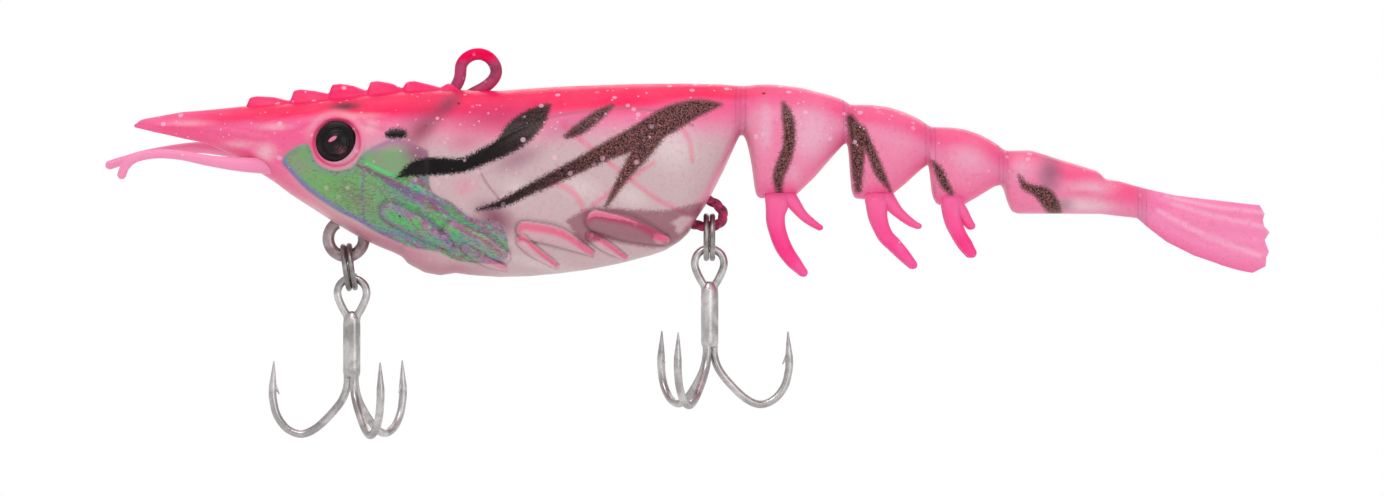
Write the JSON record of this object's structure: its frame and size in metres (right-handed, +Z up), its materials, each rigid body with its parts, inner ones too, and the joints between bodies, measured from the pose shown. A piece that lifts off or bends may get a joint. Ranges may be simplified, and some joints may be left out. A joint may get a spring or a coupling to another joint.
{
  "type": "soft prawn lure with jig head",
  "caption": "Soft swimming-prawn lure built round a weighted wire jig head, with a jointed tail and hanging treble hooks.",
  "frame": {"origin": "centre of the tow eye, where the line is tied", "axes": "+X towards the tail, +Z up, +Y to the lure's right-hand side"},
  "size_m": [0.1032, 0.0129, 0.0344],
  "materials": {
    "soft_body_pink": "clear soft plastic, hot pink on the back",
    "soft_leg_pink": "translucent soft plastic",
    "clear_core": "clear",
    "ballast": "cast",
    "painted_wire": "paint over wire",
    "foil": "iridescent film",
    "eye_black": "gloss",
    "braided_cord": "twisted cord",
    "ring_steel": "satin",
    "hook_tin": "tin plate"
  },
  "bodies": {
    "lure_body": {"soft_carapace": "soft_body_pink", "clear_core": "clear_core", "ballast_weight": "ballast", "harness_wire": "painted_wire", "foil_left": "foil", "foil_right": "foil", "eye_left": "eye_black", "eye_right": "eye_black", "antenna_left": "soft_leg_pink", "antenna_right": "soft_leg_pink", "rear_cord_loop": "braided_cord"},
    "tail_web_1": {"web_1": "soft_body_pink"},
    "tail_section_1": {"tail_segment_1": "soft_body_pink", "swimming_leg_1_left": "soft_leg_pink", "swimming_leg_1_right": "soft_leg_pink"},
    "tail_web_2": {"web_2": "soft_body_pink"},
    "tail_section_2": {"tail_segment_2": "soft_body_pink", "swimming_leg_2_left": "soft_leg_pink", "swimming_leg_2_right": "soft_leg_pink"},
    "tail_web_3": {"web_3": "soft_body_pink"},
    "tail_section_3": {"tail_segment_3": "soft_body_pink", "swimming_leg_3_left": "soft_leg_pink", "swimming_leg_3_right": "soft_leg_pink"},
    "tail_web_4": {"web_4": "soft_body_pink"},
    "tail_section_4": {"tail_segment_4": "soft_body_pink"},
    "tail_web_5": {"web_5": "soft_body_pink"},
    "tail_fan_body": {"tail_fan": "soft_body_pink"},
    "front_ring": {"front_split_ring": "ring_steel"},
    "front_treble": {"front_treble_double": "hook_tin", "front_treble_single": "hook_tin", "front_treble_braze": "hook_tin"},
    "rear_ring": {"rear_split_ring": "ring_steel"},
    "rear_treble": {"rear_treble_double": "hook_tin", "rear_treble_single": "hook_tin", "rear_treble_braze": "hook_tin"}
  },
  "joints": [
    {"name": "web_1_sideways", "type": "hinge", "parent": "lure_body", "child": "tail_web_1", "pos_m": [0.02317, 0, -0.0034], "axis": [0.03, 0, 0.9996], "range_deg": [-8, 8], "stiffness_Nm_per_rad": 0.02, "deforming": ["web_1"]},
    {"name": "web_1_curl", "type": "hinge", "parent": "tail_web_1", "child": "tail_section_1", "pos_m": [0.02317, 0, -0.0034], "axis": [0.004, 1, 0.004], "range_deg": [-6, 10], "stiffness_Nm_per_rad": 0.02, "deforming": ["web_1"]},
    {"name": "web_2_sideways", "type": "hinge", "parent": "tail_section_1", "child": "tail_web_2", "pos_m": [0.03265, 0, -0.0045], "axis": [0.03, 0, 0.9996], "range_deg": [-8, 8], "stiffness_Nm_per_rad": 0.015, "deforming": ["web_2"]},
    {"name": "web_2_curl", "type": "hinge", "parent": "tail_web_2", "child": "tail_section_2", "pos_m": [0.03265, 0, -0.0045], "axis": [0.004, 1, 0.004], "range_deg": [-6, 10], "stiffness_Nm_per_rad": 0.015, "deforming": ["web_2"]},
    {"name": "web_3_sideways", "type": "hinge", "parent": "tail_section_2", "child": "tail_web_3", "pos_m": [0.0399, 0, -0.0064], "axis": [0.03, 0, 0.9996], "range_deg": [-8, 8], "stiffness_Nm_per_rad": 0.01, "deforming": ["web_3"]},
    {"name": "web_3_curl", "type": "hinge", "parent": "tail_web_3", "child": "tail_section_3", "pos_m": [0.0399, 0, -0.0064], "axis": [0.004, 1, 0.004], "range_deg": [-6, 10], "stiffness_Nm_per_rad": 0.01, "deforming": ["web_3"]},
    {"name": "web_4_sideways", "type": "hinge", "parent": "tail_section_3", "child": "tail_web_4", "pos_m": [0.04632, 0, -0.00835], "axis": [0.03, 0, 0.9996], "range_deg": [-8, 8], "stiffness_Nm_per_rad": 0.006, "deforming": ["web_4"]},
    {"name": "web_4_curl", "type": "hinge", "parent": "tail_web_4", "child": "tail_section_4", "pos_m": [0.04632, 0, -0.00835], "axis": [0.004, 1, 0.004], "range_deg": [-6, 10], "stiffness_Nm_per_rad": 0.006, "deforming": ["web_4"]},
    {"name": "web_5_sideways", "type": "hinge", "parent": "tail_section_4", "child": "tail_web_5", "pos_m": [0.0586, 0, -0.0116], "axis": [0.03, 0, 0.9996], "range_deg": [-8, 8], "stiffness_Nm_per_rad": 0.002, "deforming": ["web_5"]},
    {"name": "web_5_curl", "type": "hinge", "parent": "tail_web_5", "child": "tail_fan_body", "pos_m": [0.0586, 0, -0.0116], "axis": [0.004, 1, 0.004], "range_deg": [-6, 10], "stiffness_Nm_per_rad": 0.002, "deforming": ["web_5"]},
    {"name": "front_ring_rock", "type": "hinge", "parent": "lure_body", "child": "front_ring", "pos_m": [-0.01165, 0, -0.01626], "axis": [1, 0, 0], "range_deg": [-60, 60]},
    {"name": "front_treble_swing", "type": "hinge", "parent": "front_ring", "child": "front_treble", "pos_m": [-0.01113, 0, -0.01907], "axis": [0, 1, 0], "range_deg": [-38, 38]},
    {"name": "rear_ring_rock", "type": "hinge", "parent": "lure_body", "child": "rear_ring", "pos_m": [0.02042, 0, -0.0136], "axis": [1, 0, 0], "range_deg": [-60, 60]},
    {"name": "rear_treble_swing", "type": "hinge", "parent": "rear_ring", "child": "rear_treble", "pos_m": [0.02042, 0, -0.01645], "axis": [0, 1, 0], "range_deg": [-22, 35]}
  ]
}
